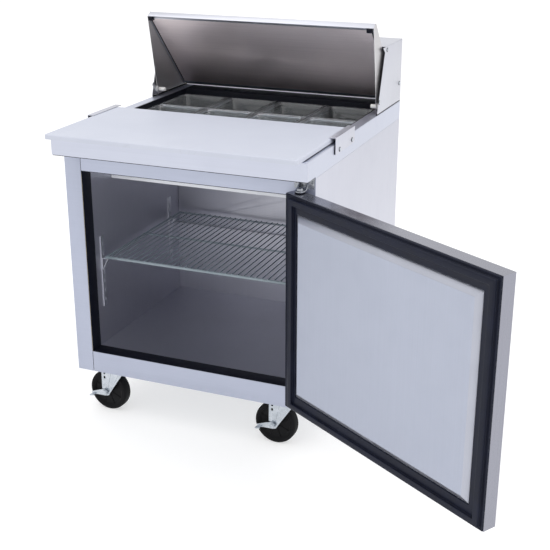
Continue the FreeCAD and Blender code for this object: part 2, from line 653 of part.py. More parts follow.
# ---- Cooling -----------------------------------------------------------------------------------
def finned_coil(x0, x1, back0, back1, z0, z1, pitch):
    """A block of thin fins on straight tubes, joined into one solid."""
    solids = []
    count = int((x1 - x0) / pitch)
    for i in range(count + 1):
        x = x0 + i * pitch
        solids.append(block(x, x + 1.0, back0, back1, z0, z1))
    rows = 4
    for row in range(rows):
        z = z0 + (row + 0.5) * (z1 - z0) / rows
        for back in (back0 + (back1 - back0) * 0.3, back0 + (back1 - back0) * 0.7):
            solids.append(rod((x0 - 12, back, z), (x1 + 12, back, z), 4.5))
    return join(solids)


def fan_blades(x, back, z, radius, depth):
    """A hub with five pitched blades, turning about Y."""
    hub = rod((x, back, z), (x, back + depth, z), radius * 0.25)
    blades = [hub]
    for i in range(5):
        middle = back + depth / 2
        blade = block(x + radius * 0.15, x + radius, middle - 0.9, middle + 0.9, z - 14, z + 14)
        blade.rotate(point(x, middle, z), RIGHT, 28)
        blade.rotate(point(x, back, z), BACK, 72 * i)
        blades.append(blade)
    shaft = rod((x, back - 2, z), (x, back + depth, z), 3.0)
    keep = rod((x, back - 5, z), (x, back + depth + 5, z), radius)
    return join(blades).common(keep).cut(shaft)


EVAP_FAN = (170.0, 574.0, 560.0)
COND_FAN = (180.0, 640.0, 275.0)


def evaporator_cover():
    """Front cover of the evaporator with a round fan guard, and the fan motor with its shaft."""
    x, back, z = EVAP_FAN
    cover = block(-CAVITY_HALF_X + 1, CAVITY_HALF_X - 1, 566, 567.2, STEP_Z + SHEET + 0.6, TRAY_Z - 1)
    hole = rod((x, 560, z), (x, 575, z), 62)
    rings = []
    for radius in (20, 34, 48):
        rings.append(tube((x, 566, z), (x, 567.2, z), radius + 1.5, radius - 1.5))
    spokes = [
        block(x - 62.5, x + 62.5, 566, 567.2, z - 1.5, z + 1.5),
        block(x - 1.5, x + 1.5, 566, 567.2, z - 62.5, z + 62.5),
    ]
    guard = join([cover.cut(hole)] + rings + spokes)
    motor = rod((x, back + 17, z), (x, back + 30, z), 22)
    shaft = rod((x, back - 1, z), (x, back + 17, z), 3 - RUNNING)
    strap = block(x - 110, x + 110, back + 25, back + 29, z - 6, z + 6)
    feet = [
        block(x + side * 110 - 3, x + side * 110 + 3, 567.4, back + 29, z - 6, z + 6) for side in (-1, 1)]
    return group([guard, join([motor, shaft, strap] + feet)])


def compressor():
    """Hermetic compressor: a domed steel shell on a foot plate with a terminal cover."""
    x, back, base = -190.0, 672.0, BASE_Z + SHEET + 0.2
    shell = rod((x, back, base + 18), (x, back, base + 130), 60)
    shell = shell.makeFillet(24.0, [e for e in shell.Edges if e.Curve.TypeId == "Part::GeomCircle"])
    feet = block(x - 80, x + 80, back - 58, back + 58, base + 8, base + 22)
    pads = [
        rod((x + sx * 66, back + sb * 46, base), (x + sx * 66, back + sb * 46, base + 9), 11)
        for sx in (-1, 1) for sb in (-1, 1)]
    terminal = block(x + 50, x + 82, back - 25, back + 25, base + 50, base + 100)
    line = rod((x, back + 30, base + 120), (x, back + 30, base + 190), 5)
    return join([shell, feet, terminal, line] + pads)


def condenser():
    """Condenser coil beside its fan motor on a strap, in front of the louvres."""
    x, back, z = COND_FAN
    coil = finned_coil(70, 290, 690, 732, 180, 370, 10)
    motor = rod((x, back - 32, z), (x, back - 1, z), 26)
    shaft = rod((x, back - 1, z), (x, back + 19, z), 3 - RUNNING)
    strap = block(x - 100, x + 100, back - 30, back - 25, z - 8, z + 8)
    legs = [
        block(x + side * 97 - 3, x + side * 97 + 3, back - 30, back - 6, BASE_Z + SHEET + 0.2, z + 8)
        for side in (-1, 1)]
    return group([coil, join([motor, shaft, strap] + legs)])


def control_box():
    """Electrical box in the machine compartment with its lid, and the gland for a power cord."""
    low = BASE_Z + SHEET + 60
    box = block(-90, 30, 660, 736, low, 360)
    box = rounded(box, 4.0, lambda m, d: along(d, BACK))
    box = box.cut(block(-88, 28, 662, 740, low + 2, 358))
    cover = rounded(block(-90, 30, 736.2, 738, low, 360), 4.0, lambda m, d: along(d, BACK))
    foot = block(-70, 10, 690, 730, BASE_Z + SHEET + 0.2, low)
    foot = foot.cut(block(-68, 8, 680, 740, BASE_Z + SHEET - 1, low - 2))
    gland = join([
        rod((GLAND_X, DEPTH - 12, GLAND_Z), (GLAND_X, DEPTH + 9, GLAND_Z), 8.0),
        rod((GLAND_X, DEPTH + 0.2, GLAND_Z), (GLAND_X, DEPTH + 4, GLAND_Z), 12.0),
    ]).cut(rod((GLAND_X, DEPTH - 13, GLAND_Z), (GLAND_X, DEPTH + 10, GLAND_Z), 4.0))
    return group([join([box, foot]), cover, gland])


# ---- Casters -----------------------------------------------------------------------------------
def caster_origin(place):
    x = -CASTER_X if place[1] == "l" else CASTER_X
    back = CASTER_BACK[0] if place[0] == "f" else CASTER_BACK[1]
    return point(x, back, 0)


def set_caster(shape, place):
    """Turns a caster piece from its own axes (trail along +X) to its heading, at its place."""
    turn = FreeCAD.Rotation(UP, CASTER_HEADING[place])
    shape.Placement = FreeCAD.Placement(caster_origin(place), turn).multiply(shape.Placement)
    return shape


def local_box(x0, x1, y0, y1, z0, z1):
    return Part.makeBox(x1 - x0, y1 - y0, z1 - z0, FreeCAD.Vector(x0, y0, z0))


def local_rod(centre, axis, radius, length):
    return Part.makeCylinder(radius, length, FreeCAD.Vector(*centre), axis)


def caster_plates():
    """Four mounting plates with the upper half of the swivel race, and their bolts."""
    solids = []
    for place in CASTER_HEADING:
        centre = caster_origin(place)
        plate = Part.makeBox(98, 66, 3, centre + FreeCAD.Vector(-49, -33, BASE_Z - 3.1))
        plate = rounded(plate, 8.0, lambda m, d: along(d, UP))
        race = Part.makeCylinder(29, 7, centre + UP * (BASE_Z - 10.1))
        race = race.makeFillet(2.0, [race.Edges[2]])
        pin = Part.makeCylinder(5, 20, centre + UP * (BASE_Z - 27))
        solids.append(join([plate, race, pin]))
        for sx in (-1, 1):
            for sy in (-1, 1):
                at = centre + FreeCAD.Vector(sx * 38, sy * 23, BASE_Z - 8.3)
                solids.append(hex_head(at, UP, 13, 5.1))
    return group(solids)


def caster_fork():
    """Pressed fork: a race disc, a neck, a crown and two tapering legs; the axle bolt and its nut."""
    axle = FreeCAD.Vector(CASTER_TRAIL, 0, WHEEL_R)
    head_z = BASE_Z - 10.4
    crown_z = head_z - 8.6
    leg_outline = [
        (-29, crown_z - 1), (40, crown_z - 1), (41, WHEEL_R), (36, WHEEL_R - 10), (27, WHEEL_R - 13),
        (18, WHEEL_R - 10), (13, WHEEL_R - 1), (-29, crown_z - 14)]
    legs = []
    for side in (-1, 1):
        y0 = 22.0 if side > 0 else -25.0
        corners = [FreeCAD.Vector(x, y0, z) for x, z in leg_outline]
        leg = Part.Face(Part.makePolygon(corners + corners[:1])).extrude(BACK * 3.0)
        rib_y = y0 + 2.9 if side > 0 else y0 - 1.1
        ribs = []
        for top_x, low_x, low_z in ((6, 19, WHEEL_R + 16), (-22, 10, WHEEL_R + 9)):
            rib_outline = [(top_x, crown_z - 7), (top_x + 8, crown_z - 7), (low_x + 5, low_z), (low_x, low_z)]
            rib_corners = [FreeCAD.Vector(x, rib_y, z) for x, z in rib_outline]
            ribs.append(Part.Face(Part.makePolygon(rib_corners + rib_corners[:1])).extrude(BACK * 1.2))
        slots = [local_box(27, 33, y0 - 2, y0 + 5, crown_z - at - 8, crown_z - at) for at in (11, 25)]
        legs.append(join([leg] + ribs).cut(group(slots)))
    crown = local_box(-29, 40, -25, 25, crown_z - 4, crown_z)
    crown = rounded(crown, 6.0, lambda m, d: along(d, UP))
    neck = Part.makeCylinder(23, 6, UP * (crown_z - 0.5))
    dome = Part.makeCylinder(30, 4, UP * (head_z - 4))
    dome = dome.makeFillet(1.5, [dome.Edges[0]])
    fork = join([crown, neck, dome] + legs)
    king_hole = Part.makeCylinder(5 + RUNNING, 20, UP * (head_z - 14))
    axle_hole = local_rod((axle.x, -30, axle.z), BACK, AXLE_R, 60)
    fork = fork.cut(king_hole).cut(axle_hole)
    bolt = join([
        local_rod((axle.x, -25, axle.z), BACK, AXLE_R, 61),
        hex_head(FreeCAD.Vector(axle.x, -25, axle.z), BACK * -1, 15, 5),
    ])
    nut = hex_head(FreeCAD.Vector(axle.x, 28.6, axle.z), BACK, 15, 6).cut(bolt)
    return group([fork, bolt, nut])


def caster_wheel():
    """Moulded wheel: hub, dished web and a rounded tread, running on the axle bolt."""
    half = WHEEL_WIDTH / 2
    profile = [
        (AXLE_R + RUNNING, -20), (14, -20), (17, -8), (42, -6), (45, -half + 3), (54, -half),
        (WHEEL_R - 3, -half + 1.2), (WHEEL_R - 0.8, -half + 5), (WHEEL_R, -4), (WHEEL_R, 4),
        (WHEEL_R - 0.8, half - 5), (WHEEL_R - 3, half - 1.2), (54, half), (45, half - 3), (42, 6),
        (17, 8), (14, 20), (AXLE_R + RUNNING, 20)]
    corners = [FreeCAD.Vector(r, w, 0) for r, w in profile]
    face = Part.Face(Part.makePolygon(corners + corners[:1]))
    wheel = face.revolve(FreeCAD.Vector(0, 0, 0), BACK, 360)
    wheel.translate(FreeCAD.Vector(CASTER_TRAIL, 0, WHEEL_R))
    return wheel


def caster_brake():
    """Foot lever on the axle, outside the fork, with a turned-out toe tab."""
    axle_x, axle_z = CASTER_TRAIL, WHEEL_R
    outline = [
        (axle_x - 9, axle_z + 3), (axle_x + 3, axle_z + 9), (axle_x + 20, axle_z + 4),
        (axle_x + 50, axle_z - 8), (axle_x + 50, axle_z - 16), (axle_x + 28, axle_z - 13),
        (axle_x + 4, axle_z - 12), (axle_x - 7, axle_z - 8)]
    corners = [FreeCAD.Vector(x, 26.3, z) for x, z in outline]
    plate = Part.Face(Part.makePolygon(corners + corners[:1])).extrude(BACK * 2.0)
    tab = local_box(axle_x + 36, axle_x + 52, 26.3, 38, axle_z - 15.5, axle_z - 12.5)
    tab.rotate(FreeCAD.Vector(axle_x + 36, 26.3, axle_z - 15.5), BACK, 10)
    hole = local_rod((axle_x, 20, axle_z), BACK, AXLE_R + RUNNING, 20)
    return join([plate, tab]).cut(hole)


# ---- Every node --------------------------------------------------------------------------------
nodes = {
    "side_panel_left": side_panel_left(),
    "side_panel_right": mirrored(side_panel_left()),
    "face_frame": face_frame(),
    "rear_panel": rear_panel(),
    "base_panel": base_panel(),
    "rear_grille": rear_grille(),
    "liner_wrap": liner_wrap(),
    "liner_back_and_floor": liner_back_and_floor(),
    "cabinet_foam": cabinet_foam(),
    "breaker_strip": breaker_strip(),
    "worktop": worktop(),
    "well_frame": well_frame(),
    "pan_bars": pan_bars(),
    "well_baffle": well_baffle(),
    "hood_shell": hood_shell(),
    "hood_sides": hood_sides(),
    "cutting_board": cutting_board(),
    "rubber_strips": rubber_strips(),
    "board_brackets": board_brackets(),
    "panel_screws": panel_screws(),
    "lid_pivot_pins": lid_pivot_pins(),
    "hinges": hinges(),
    "wire_shelf": wire_shelf(),
    "shelf_supports": shelf_supports(),
    "evaporator_coil": finned_coil(-230, 230, 612, 684, 450, 640, 20),
    "evaporator_cover": evaporator_cover(),
    "evaporator_fan": fan_blades(*EVAP_FAN, 58, 16),
    "compressor": compressor(),
    "condenser": condenser(),
    "condenser_fan": fan_blades(*COND_FAN, 82, 18),
    "control_box": control_box(),
    "caster_plates": caster_plates(),
}
for name, shape in lid_pieces().items():
    nodes[name] = opened_lid(shape)
for name, shape in door_pieces().items():
    nodes[name] = opened_door(shape)
for row in ("front", "rear"):
    for column in range(PAN_COLUMNS):
        nodes[f"pan_{row}_{column + 1}"] = food_pan(column, row)
for place in CASTER_HEADING:
    nodes[f"caster_fork_{place}"] = set_caster(caster_fork(), place)
    nodes[f"caster_wheel_{place}"] = set_caster(caster_wheel(), place)
    if place[0] == "f":
        nodes[f"caster_brake_{place}"] = set_caster(caster_brake(), place)

os.makedirs("parts", exist_ok=True)
for name, shape in nodes.items():
    shape.exportStep(f"parts/{name}.step")
print(len(nodes), "nodes")
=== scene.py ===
import json
import math
import random

import bmesh
import bpy
from mathutils import Matrix, Vector


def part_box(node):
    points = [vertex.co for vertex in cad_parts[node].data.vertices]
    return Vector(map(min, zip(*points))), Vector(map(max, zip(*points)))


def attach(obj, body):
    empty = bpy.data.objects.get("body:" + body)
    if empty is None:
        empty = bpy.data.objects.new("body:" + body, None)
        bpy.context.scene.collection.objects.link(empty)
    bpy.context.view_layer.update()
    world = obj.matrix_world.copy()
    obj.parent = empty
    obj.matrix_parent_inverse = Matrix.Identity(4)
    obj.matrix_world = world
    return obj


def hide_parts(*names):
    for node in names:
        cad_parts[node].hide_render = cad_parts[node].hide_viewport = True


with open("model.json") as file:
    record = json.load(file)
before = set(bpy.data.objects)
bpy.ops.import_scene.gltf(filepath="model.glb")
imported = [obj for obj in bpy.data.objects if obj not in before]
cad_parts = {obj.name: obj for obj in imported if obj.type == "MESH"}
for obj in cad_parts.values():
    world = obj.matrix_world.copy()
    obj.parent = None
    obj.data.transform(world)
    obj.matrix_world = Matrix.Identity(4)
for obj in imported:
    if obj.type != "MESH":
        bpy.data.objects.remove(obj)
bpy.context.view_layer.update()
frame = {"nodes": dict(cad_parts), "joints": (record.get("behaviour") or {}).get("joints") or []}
NODES = frame["nodes"]
JOINTS = {joint["name"]: joint for joint in frame["joints"]}
MM = 0.001
CORNERS = ("fl", "fr", "rl", "rr")
SEED = 7
random.seed(SEED)


# ---- Shader graphs -----------------------------------------------------------------------------
class Graph:
    """A material's node tree with a Principled shader, and short calls for the nodes that feed it."""

    def __init__(self, name, color, rough, metal=0.0):
        self.mat = bpy.data.materials.new(name)
        self.mat.use_nodes = True
        self.tree = self.mat.node_tree
        self.tree.nodes.clear()
        out = self.tree.nodes.new("ShaderNodeOutputMaterial")
        self.shader = self.tree.nodes.new("ShaderNodeBsdfPrincipled")
        self.tree.links.new(self.shader.outputs["BSDF"], out.inputs["Surface"])
        self.set("Base Color", (*color, 1))
        self.set("Roughness", rough)
        self.set("Metallic", metal)
        self.normal = None

    def set(self, socket, value):
        """A number, a colour, or another node's output, on one of the shader's sockets."""
        self.plug(self.shader.inputs[socket], value)

    def plug(self, socket, value):
        if isinstance(value, bpy.types.NodeSocket):
            self.tree.links.new(value, socket)
        else:
            socket.default_value = value

    def node(self, kind, **inputs):
        made = self.tree.nodes.new(kind)
        for key, value in inputs.items():
            self.plug(made.inputs[key.replace("_", " ")], value)
        return made

    def place(self, scale=(1, 1, 1), turn=(0, 0, 0)):
        """Object coordinates, stretched and turned."""
        where = self.tree.nodes.new("ShaderNodeTexCoord").outputs["Object"]
        mapping = self.node("ShaderNodeMapping", Vector=where, Scale=scale)
        mapping.inputs["Rotation"].default_value = turn
        return mapping.outputs["Vector"]

    def noise(self, vector, scale, detail=3.0, rough=0.5, distort=0.0):
        made = self.node(
            "ShaderNodeTexNoise", Vector=vector, Scale=scale, Detail=detail, Roughness=rough,
            Distortion=distort)
        return made.outputs["Fac"]

    def cells(self, vector, scale):
        return self.node("ShaderNodeTexVoronoi", Vector=vector, Scale=scale).outputs["Distance"]

    def remap(self, value, low, high, out_low, out_high):
        made = self.tree.nodes.new("ShaderNodeMapRange")
        for i, number in enumerate((value, low, high, out_low, out_high)):
            self.plug(made.inputs[i], number)
        return made.outputs["Result"]

    def math(self, operation, a, b=0.0):
        made = self.tree.nodes.new("ShaderNodeMath")
        made.operation = operation
        self.plug(made.inputs[0], a)
        self.plug(made.inputs[1], b)
        return made.outputs["Value"]

    def mix(self, factor, a, b):
        """Colour a where factor is 0, b where it is 1."""
        made = self.tree.nodes.new("ShaderNodeMix")
        made.data_type = "RGBA"
        self.plug(made.inputs["Factor"], factor)
        self.plug(made.inputs[6], a if isinstance(a, bpy.types.NodeSocket) else (*a, 1))
        self.plug(made.inputs[7], b if isinstance(b, bpy.types.NodeSocket) else (*b, 1))
        return made.outputs[2]

    def bump(self, height, distance, strength=1.0):
        made = self.node("ShaderNodeBump", Strength=strength, Distance=distance, Height=height)
        if self.normal is not None:
            self.tree.links.new(self.normal, made.inputs["Normal"])
        self.normal = made.outputs["Normal"]
        self.set("Normal", self.normal)


def brushed_steel(name, color, rough, grain, depth=1.0, cloud=0.03):
    """Stainless sheet: hair-fine scratches along one axis, slow changes of gloss, faint handling marks."""
    g = Graph(name, color, rough, 1.0)
    hair_across, hair_along = 2600.0, 16.0
    streak_across, streak_along = 320.0, 3.0
    hair_scale = tuple(hair_along if axis == grain else hair_across for axis in "XYZ")
    hair = g.noise(g.place(hair_scale), 1.0, 2.0, 0.6)
    streak_scale = tuple(streak_along if axis == grain else streak_across for axis in "XYZ")
    streak = g.noise(g.place(streak_scale), 1.0, 3.0, 0.55)
    broad = g.noise(g.place(), 3.2, 2.0, 0.5)
    smudge = g.noise(g.place(), 14.0, 4.0, 0.6, 0.6)
    shade = g.remap(streak, 0.25, 0.75, 0.0, 1.0)
    tone = g.mix(
        shade, tuple(c * (1 - cloud) for c in color), tuple(min(1.0, c * (1 + cloud * 0.6)) for c in color))
    tone = g.mix(g.remap(broad, 0.3, 0.7, 0.0, 0.5), tone, tuple(c * 0.95 for c in color))
    g.set("Base Color", tone)
    gloss = g.remap(hair, 0.2, 0.8, rough - 0.05, rough + 0.07)
    gloss = g.math("ADD", gloss, g.remap(smudge, 0.45, 0.75, 0.0, 0.06))
    g.set("Roughness", gloss)
    g.bump(hair, 0.00003 * depth, 0.5)
    g.bump(streak, 0.00003 * depth, 0.2)
    g.set("Anisotropic", 0.35)
    return g.mat


def galvanised(name):
    """Zinc-dipped sheet with its frost-like crystals."""
    g = Graph(name, (0.55, 0.57, 0.6), 0.42, 1.0)
    where = g.place()
    crystal = g.node("ShaderNodeTexVoronoi", Vector=where, Scale=95.0)
    split = g.tree.nodes.new("ShaderNodeSeparateColor")
    g.plug(split.inputs[0], crystal.outputs["Color"])
    level = split.outputs[0]
    grain = g.noise(where, 600.0, 3.0)
    g.set("Base Color", g.mix(level, (0.50, 0.525, 0.57), (0.565, 0.59, 0.635)))
    g.set("Roughness", g.math("ADD", g.remap(level, 0, 1, 0.40, 0.47), g.remap(grain, 0.3, 0.7, -0.03, 0.03)))
    g.bump(level, 0.00001, 0.15)
    return g.mat


def zinc_plate(name, dull=(0.34, 0.375, 0.42), bright=(0.72, 0.76, 0.81), rough=0.24):
    """Bright plated steel: pressed parts, faintly mottled, with fine tool lines."""
    g = Graph(name, bright, rough, 1.0)
    blotch = g.noise(g.place(), 60.0, 4.0, 0.6, 0.4)
    fine = g.noise(g.place((1800, 1800, 260)), 1.0, 2.0)
    g.set("Base Color", g.mix(blotch, dull, bright))
    g.set("Roughness", g.remap(blotch, 0.3, 0.7, rough - 0.08, rough + 0.1))
    g.bump(fine, 0.00003, 0.5)
    g.bump(blotch, 0.00008, 0.15)
    return g.mat


def painted_shadow_washer(name):
    """Black washers whose dark tone is painted shadow round the screw heads, with worn, slightly paler
    patches.
    """
    g = Graph(name, (0.02, 0.021, 0.026), 0.4, 0.6)
    wear = g.noise(g.place(), 700.0, 3.0)
    g.set("Base Color", g.mix(g.remap(wear, 0.45, 0.75, 0, 1), (0.016, 0.017, 0.022), (0.06, 0.062, 0.07)))
    g.set("Roughness", g.remap(wear, 0.3, 0.7, 0.32, 0.5))
    g.bump(wear, 0.00004, 0.4)
    return g.mat


def moulded(name, color, rough, grain=900.0, depth=0.00006, spread=0.15, gloss=0.5):
    """Moulded plastic: spark-eroded grain, faint flow marks and slight changes of gloss."""
    g = Graph(name, color, rough)
    skin = g.cells(g.place(), grain)
    flow = g.noise(g.place(), 7.0, 3.0, 0.5, 0.8)
    g.set("Base Color", g.mix(
        g.remap(flow, 0.35, 0.7, 0, 1), tuple(c * (1 - spread) for c in color),
        tuple(min(1.0, c * (1 + spread)) for c in color)))
    sheen = g.remap(flow, 0.3, 0.7, rough - 0.05, rough + 0.05)
    g.set("Roughness", g.math("ADD", sheen, g.remap(skin, 0, 0.7, -0.04, 0.04)))
    g.bump(skin, depth, 0.6)
    g.set("Specular IOR Level", gloss)
    return g.mat


def board_plastic(name):
    """Cutting board: matt polyethylene with a pebbled skin and a few fine knife lines."""
    g = Graph(name, (0.56, 0.585, 0.67), 0.5)
    pebble = g.noise(g.place(), 1400.0, 2.0, 0.5)
    cloud = g.noise(g.place(), 5.0, 3.0, 0.5)
    lines = []
    for turn, stretch in ((0.35, (4, 210, 1)), (-0.6, (5, 260, 1)), (1.35, (3.5, 180, 1))):
        field = g.noise(g.place(stretch, (0, 0, turn)), 1.0, 1.0, 0.4)
        lines.append(g.remap(g.math("ABSOLUTE", g.math("SUBTRACT", field, 0.5)), 0.0, 0.004, 1.0, 0.0))
    knife = g.math("MAXIMUM", g.math("MAXIMUM", lines[0], lines[1]), lines[2])
    knife = g.math("MULTIPLY", knife, g.remap(cloud, 0.5, 0.62, 0.0, 1.0))
    tone = g.mix(g.remap(cloud, 0.3, 0.7, 0, 1), (0.515, 0.54, 0.625), (0.55, 0.575, 0.66))
    g.set("Base Color", g.mix(g.math("MULTIPLY", knife, 0.25), tone, (0.44, 0.46, 0.52)))
    g.set("Roughness", g.remap(pebble, 0.3, 0.7, 0.42, 0.58))
    g.set("Specular IOR Level", 0.4)
    g.bump(pebble, 0.00008, 0.5)
    g.bump(knife, -0.00015, 0.5)
    return g.mat


def clear_plastic(name):
    """Clear polycarbonate with a faint cool tint and hairline rub marks."""
    g = Graph(name, (0.90, 0.935, 0.96), 0.06)
    rub = g.noise(g.place((60, 60, 900)), 1.0, 3.0, 0.6)
    haze = g.noise(g.place(), 30.0, 3.0, 0.5)
    g.set("Roughness", g.math("ADD", g.remap(haze, 0.3, 0.7, 0.03, 0.12), g.remap(rub, 0.5, 0.75, 0.0, 0.08)))
    g.set("Transmission Weight", 0.93)
    g.set("IOR", 1.5)
    g.bump(rub, 0.00003, 0.4)
    return g.mat


def rubber(name, color, rough):
    """Vinyl or rubber: soft sheen, fine pores, a little dust in the hollows."""
    g = Graph(name, color, rough)
    pores = g.noise(g.place(), 1600.0, 2.0)
    wave = g.noise(g.place(), 18.0, 3.0, 0.5, 0.5)
    g.set("Base Color", g.mix(g.remap(wave, 0.4, 0.75, 0, 1), color, tuple(c * 1.4 + 0.001 for c in color)))
    g.set("Roughness", g.remap(wave, 0.3, 0.7, rough - 0.06, rough + 0.1))
    g.bump(pores, 0.00005, 0.5)
    g.bump(wave, 0.0002, 0.15)
    g.set("Specular IOR Level", 0.18)
    return g.mat


def epoxy_coat(name):
    """Thick baked coat on wire, with orange peel and a gloss film."""
    g = Graph(name, (0.22, 0.27, 0.31), 0.38)
    peel = g.noise(g.place(), 420.0, 2.0)
    drift = g.noise(g.place(), 26.0, 3.0)
    g.set("Base Color", g.mix(drift, (0.17, 0.215, 0.25), (0.28, 0.335, 0.375)))
    g.set("Coat Weight", 0.5)
    g.set("Coat Roughness", 0.25)
    g.bump(peel, 0.0002, 0.35)
    return g.mat


def enamel(name, color, rough=0.35):
    """Sprayed paint: orange peel and slight dust."""
    g = Graph(name, color, rough)
    peel = g.noise(g.place(), 500.0, 2.0)
    dust = g.noise(g.place(), 22.0, 4.0, 0.6, 0.4)
    g.set("Base Color", g.mix(g.remap(dust, 0.5, 0.8, 0, 0.6), color, tuple(c * 0.7 + 0.1 for c in color)))
    g.set("Roughness", g.remap(dust, 0.35, 0.7, rough, rough + 0.2))
    g.bump(peel, 0.00015, 0.4)
    return g.mat


def foam_skin(name):
    """Cut polyurethane foam: open cells, yellowed towards the skin."""
    g = Graph(name, (0.75, 0.66, 0.42), 0.9)
    cell = g.cells(g.place(), 450.0)
    stain = g.noise(g.place(), 12.0, 4.0)
    g.set("Base Color", g.mix(stain, (0.66, 0.55, 0.32), (0.85, 0.77, 0.55)))
    g.bump(cell, 0.0008, 0.7)
    return g.mat


M = {
    # steel_front: the same stainless as the side panels, toned darker as painted shade on the face frame's
    # front faces
    "front": brushed_steel("steel_front", (0.455, 0.485, 0.59), 0.42, "X"),
    "side": brushed_steel("steel_side", (0.60, 0.61, 0.68), 0.38, "Z"),
    "top": brushed_steel("steel_top", (0.58, 0.605, 0.70), 0.36, "X"),
    "hood": brushed_steel("steel_hood", (0.60, 0.61, 0.67), 0.36, "Z"),
    "fitting": brushed_steel("steel_fitting", (0.66, 0.67, 0.72), 0.30, "Y", 0.8, 0.08),
    # steel_lid_inner_painted_reflection: the lid's stainless toned warm pink and brighter, a painted
    # reflection of the food and pans beneath it
    "lid_in_painted_reflection": brushed_steel("steel_lid_inner_painted_reflection", (0.96, 0.87, 0.88), 0.5, "X", 1.3, 0.07),
    "lid_out": brushed_steel("steel_lid_outer", (0.62, 0.63, 0.69), 0.34, "X"),
    "gusset": brushed_steel("steel_gusset", (0.62, 0.61, 0.625), 0.40, "Y"),
    # steel_liner_painted_shade: the stainless toned darker than the outside panels, painted shade for the
    # inside of the cavity; the evaporator cover shares it
    "liner": brushed_steel("steel_liner_painted_shade", (0.52, 0.525, 0.59), 0.42, "Z"),
    # steel_door_edge_painted_shade: the door's outer stainless toned much darker than the cabinet's, as
    # painted shade on the door's edges
    "door_edge_painted_shade": brushed_steel("steel_door_edge_painted_shade", (0.31, 0.315, 0.365), 0.24, "Z", 0.6, 0.04),
    # steel_door_rim_painted_highlight: a paler, warmer copy of the door liner's steel for the pressed bevel,
    # a painted highlight where the bevel catches light
    "door_rim_painted_highlight": brushed_steel("steel_door_rim_painted_highlight", (0.465, 0.48, 0.545), 0.40, "Z", 0.6, 0.03),
    "door_in": brushed_steel("steel_door_liner", (0.455, 0.485, 0.575), 0.42, "Z", 0.6, 0.03),
    "galv": galvanised("zinc_spangle"),
    "zinc": zinc_plate("zinc_bright"),
    # hinge_casting_painted_reflection: the bright zinc plate toned much darker, a painted reflection of the
    # dark surroundings in the glossy castings
    "casting_painted_reflection": zinc_plate("hinge_casting_painted_reflection", (0.16, 0.17, 0.19), (0.50, 0.52, 0.56), 0.18),
    # washer: black washers, painted shadow round the screw heads
    "washer": painted_shadow_washer("washer_painted_shadow"),
    "black": moulded("black_plastic", (0.006, 0.007, 0.014), 0.5, gloss=0.14),
    "collar": moulded("well_collar", (0.006, 0.007, 0.012), 0.42, 700.0, gloss=0.14),
    "white": moulded("white_plastic", (0.80, 0.80, 0.78), 0.4, 1100.0, 0.00004, 0.04),
    "tray": moulded("pale_tray", (0.86, 0.88, 0.93), 0.4, 900.0, 0.00004, 0.05),
    "board": board_plastic("board_polyethylene"),
    "clear": clear_plastic("clear_polycarbonate"),
    "gasket": rubber("gasket_vinyl", (0.006, 0.008, 0.019), 0.38),
    "strip": rubber("strip_rubber", (0.008, 0.008, 0.010), 0.6),
    "tread": rubber("tread_rubber", (0.002, 0.002, 0.003), 0.62),
    "hub": moulded("wheel_core", (0.003, 0.003, 0.004), 0.4, 600.0, 0.00005, 0.2, 0.14),
    "epoxy": epoxy_coat("shelf_epoxy"),
    "fins": brushed_steel("coil_aluminium", (0.74, 0.75, 0.76), 0.38, "Z", 2.0, 0.12),
    "shell_paint": enamel("compressor_enamel", (0.02, 0.02, 0.022)),
    "box_paint": enamel("box_enamel", (0.30, 0.31, 0.33), 0.45),
    "foam": foam_skin("foam_cut"),
}

NODE_MATERIAL = {
    "face_frame": "front", "side_panel_left": "side", "side_panel_right": "side", "worktop": "top",
    "hood_shell": "hood", "hood_sides": "hood", "board_brackets": "side", "lid_outer": "lid_out",
    "lid_inner": "lid_in_painted_reflection", "lid_gussets": "gusset", "lid_foam": "foam", "lid_bumpers": "black",
    "lid_pivot_pins": "white", "door_shell": "door_edge_painted_shade", "door_liner": "door_in", "door_foam": "foam",
    "door_fittings": "black", "hinges": "casting_painted_reflection", "liner_wrap": "liner", "liner_back_and_floor": "liner",
    # rubber_strips: black strips that carry the board; their black in the gap under the board's sides is also
    # painted shadow
    "cabinet_foam": "foam", "base_panel": "galv", "rear_panel": "galv", "rubber_strips": "strip",
    "rear_grille": "galv", "breaker_strip": "black", "well_frame": "collar", "pan_bars": "fitting",
    "well_baffle": "tray", "cutting_board": "board", "wire_shelf": "epoxy", "shelf_supports": "fitting",
    "evaporator_coil": "fins", "evaporator_cover": "liner", "evaporator_fan": "black",
    "compressor": "shell_paint", "condenser": "fins", "condenser_fan": "black", "control_box": "box_paint",
    "caster_plates": "zinc", "caster_brake_fl": "zinc", "caster_brake_fr": "zinc",
}
for corner in CORNERS:
    NODE_MATERIAL[f"caster_fork_{corner}"] = "zinc"
# Nodes that a finer piece replaces further down have no entry and take this one.
REPLACED_MATERIAL = "black"

# Edge rounding of the carried-over nodes, in millimetres.
EDGE = {
    "face_frame": 0.35, "side_panel_left": 0.4, "side_panel_right": 0.4, "hood_shell": 0.4,
    "hood_sides": 0.35, "board_brackets": 0.45, "rubber_strips": 0.4, "lid_outer": 0.4,
    "lid_inner": 0.3, "lid_gussets": 0.35,
    "lid_bumpers": 0.5, "hinges": 0.9, "breaker_strip": 0.4, "well_frame": 0.9, "pan_bars": 0.7,
    "well_baffle": 0.4, "shelf_supports": 0.3, "evaporator_cover": 0.3,
    "caster_plates": 0.5, "caster_brake_fl": 0.5, "caster_brake_fr": 0.5, "caster_fork_fl": 0.6,
    "caster_fork_fr": 0.6, "caster_fork_rl": 0.6, "caster_fork_rr": 0.6, "door_fittings": 0.5,
    "rear_panel": 0.3, "base_panel": 0.3, "control_box": 0.6,
}


